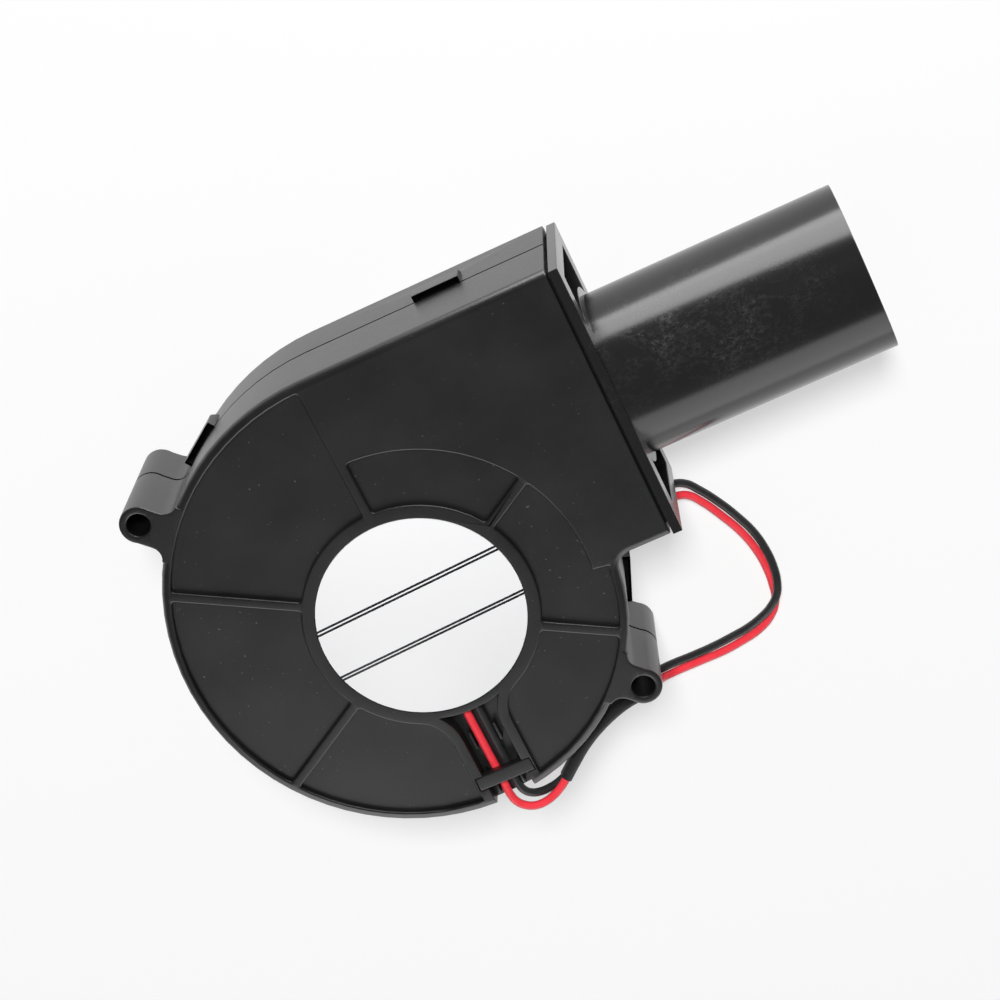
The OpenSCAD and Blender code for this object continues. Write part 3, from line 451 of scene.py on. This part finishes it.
def shrinkSleeve(s):
    profile = bpy.data.curves.new("sleeveProfile", "CURVE")
    profile.dimensions = "2D"
    edge = profile.splines.new("POLY")
    radius = s["thick"] / 2 + s["skin"]
    steps = s["sleeveSteps"]
    turns = [math.pi * k / steps for k in range(steps + 1)]
    half = [(radius * math.cos(a), s["pairHalf"] + radius * math.sin(a)) for a in turns]
    ring = half + [(-x, -y) for x, y in half]
    edge.points.add(len(ring) - 1)
    for knot, (x, y) in zip(edge.points, ring):
        knot.co = (x * mm, y * mm, 0, 1)
    edge.use_cyclic_u = True
    profileObject = bpy.data.objects.new("sleeveProfile", profile)
    scene.collection.objects.link(profileObject)
    path = wireCurve("sleevePath", s["sleeve"], s)
    path.bevel_mode = "OBJECT"
    path.bevel_object = profileObject
    path.use_fill_caps = False
    path.twist_mode = "Z_UP"
    pathObject = bpy.data.objects.new("sleevePath", path)
    scene.collection.objects.link(pathObject)
    bpy.context.view_layer.update()
    evaluated = pathObject.evaluated_get(bpy.context.evaluated_depsgraph_get())
    mesh = bpy.data.meshes.new_from_object(evaluated)
    mesh.name = "shrunkSleeve"
    bpy.data.objects.remove(pathObject)
    bpy.data.objects.remove(profileObject)
    bm = bmesh.new()
    bm.from_mesh(mesh)
    bmesh.ops.remove_doubles(bm, verts=bm.verts, dist=s["sleeveWeld"] * mm)
    bmesh.ops.recalc_face_normals(bm, faces=bm.faces)
    bmesh.ops.solidify(bm, geom=bm.faces[:], thickness=s["sleeveWall"] * mm)
    bmesh.ops.recalc_face_normals(bm, faces=bm.faces)
    bm.to_mesh(mesh)
    bm.free()
    mesh.shade_smooth()
    mesh.set_sharp_from_angle(angle=math.radians(s["sleeveSharp"]))
    return addPiece("shrunkSleeve", mesh, "housing", "sleeve", looks["sleeve"], "cable_sleeve")


sleeve = shrinkSleeve(leads)
for colour in ("red", "black"):
    loose = layLead(colour, leads)

# white film label with two pairs of thin rules, measured across from the middle
labelFilm = {"radius": 20.2, "low": 32.7, "thick": 0.25, "rim": 0.05, "rough": 0.32,
             "ripple": 300, "bump": 0.05,
             "tilt": 2.6, "rules": (6.34, 5.58, -4.0, -4.68), "rule": 0.23,
             "white": (0.92, 0.92, 0.93), "ink": (0.012, 0.012, 0.014)}


def labelSkin(s):
    mat, tree, shader = startMaterial("labelFilm", s["white"], s["rough"])
    across = axesOf(tree, -s["tilt"])["Y"]
    inked = 0.0
    for y in s["rules"]:
        inked = mathOf(tree, "MAXIMUM", inked, bandOf(tree, across, y, s["rule"]))
    tree.links.new(mixOf(tree, inked, s["white"], s["ink"]), shader.inputs["Base Color"])
    bumpInto(tree, shader, noiseOf(tree, s["ripple"]), s["bump"])
    return mat


def pressLabel(s):
    bm = bmesh.new()
    radius = s["radius"] * mm
    bmesh.ops.create_cone(bm, cap_ends=True, segments=128, radius1=radius, radius2=radius,
                          depth=s["thick"] * mm)
    bmesh.ops.translate(bm, verts=bm.verts, vec=(0, 0, (s["low"] + s["thick"] / 2) * mm))
    rim = [e for e in bm.edges if e.calc_face_angle(0) > sharpAngle]
    roundEdges(bm, rim, s["rim"], steps=2)
    mesh = bpy.data.meshes.new("labelDisc")
    bm.to_mesh(mesh)
    bm.free()
    mesh.shade_smooth()
    mesh.set_sharp_from_angle(angle=sharpAngle)
    addPiece("labelDisc", mesh, "housing", "label", labelSkin(s), "label")


pressLabel(labelFilm)
print("label pressed in")

# remaining CAD parts keep their shape and take the finish of their slot
for node, slot in slotOf.items():
    if slot in looks and node not in moulded:
        for holder in cad[node].material_slots:
            holder.material = looks[slot]
print("finishes set on the remaining parts")

# pale table, clear from below, one key lamp for the surfaces, and cards that only show in reflections;
# azimuth and height in degrees, far and size in metres, watts for a square metre of brightness 1
studio = {
    "table": 20.0, "drop": 0.1, "shade": 0.96, "rough": 0.9, "glow": 0.58, "air": 0.11, "watts": 4,
    "key": {"name": "keyLamp", "azimuth": 73, "height": 60, "far": 2.0,
            "size": (0.48, 0.48), "light": 43},
    "cards": [
        {"name": "tubeCard", "azimuth": 56, "height": 13, "far": 0.16,
         "size": (0.15, 0.07), "light": 5.0},
        {"name": "nearCard", "azimuth": 255, "height": 21, "far": 1.0,
         "size": (1.5, 0.75), "light": 1.4},
        {"name": "cornerCard", "azimuth": 238, "height": 46, "far": 0.9,
         "size": (0.35, 0.35), "light": 1.3},
    ],
}


def layTable(s):
    bm = bmesh.new()
    bmesh.ops.create_grid(bm, x_segments=1, y_segments=1, size=s["table"] / 2)
    bmesh.ops.translate(bm, verts=bm.verts, vec=(0, 0, -s["drop"] * mm))
    mesh = bpy.data.meshes.new("paleTable")
    bm.to_mesh(mesh)
    bm.free()
    table = bpy.data.objects.new("paleTable", mesh)
    scene.collection.objects.link(table)
    mat, tree, shader = startMaterial("paleTable", (s["shade"],) * 3, s["rough"])
    path = tree.nodes.new("ShaderNodeLightPath")
    seen = mathOf(tree, "MAXIMUM", path.outputs["Is Camera Ray"], path.outputs["Is Glossy Ray"])
    seen = mathOf(tree, "MAXIMUM", seen, path.outputs["Is Transmission Ray"])
    glow = tree.nodes.new("ShaderNodeEmission")
    glow.inputs["Strength"].default_value = 1
    pick = tree.nodes.new("ShaderNodeMixShader")
    tree.links.new(mathOf(tree, "MULTIPLY", seen, s["glow"]), pick.inputs[0])
    tree.links.new(shader.outputs[0], pick.inputs[1])
    tree.links.new(glow.outputs[0], pick.inputs[2])
    side = tree.nodes.new("ShaderNodeNewGeometry")
    clear = tree.nodes.new("ShaderNodeBsdfTransparent")
    under = tree.nodes.new("ShaderNodeMixShader")
    tree.links.new(side.outputs["Backfacing"], under.inputs[0])
    tree.links.new(pick.outputs[0], under.inputs[1])
    tree.links.new(clear.outputs[0], under.inputs[2])
    tree.links.new(under.outputs[0], tree.nodes["Material Output"].inputs["Surface"])
    mesh.materials.append(mat)


def hangPanel(p, isKey):
    data = bpy.data.lights.new(p["name"], "AREA")
    data.shape = "RECTANGLE"
    data.size, data.size_y = p["size"]
    data.energy = studio["watts"] * data.size * data.size_y * p["light"]
    around, above = math.radians(p["azimuth"]), math.radians(p["height"])
    flat = math.cos(above)
    towards = Vector((math.cos(around) * flat, math.sin(around) * flat, math.sin(above)))
    panel = bpy.data.objects.new(p["name"], data)
    panel.location = towards * p["far"]
    panel.rotation_euler = (-towards).to_track_quat("-Z", "Y").to_euler()
    panel.visible_diffuse = isKey
    panel.visible_glossy = not isKey
    scene.collection.objects.link(panel)


layTable(studio)
air = bpy.data.worlds.new("studioAir")
air.use_nodes = True
air.node_tree.nodes["Background"].inputs["Color"].default_value = (1, 1, 1, 1)
air.node_tree.nodes["Background"].inputs["Strength"].default_value = studio["air"]
scene.world = air
hangPanel(studio["key"], True)
for card in studio["cards"]:
    hangPanel(card, False)
print("studio set")
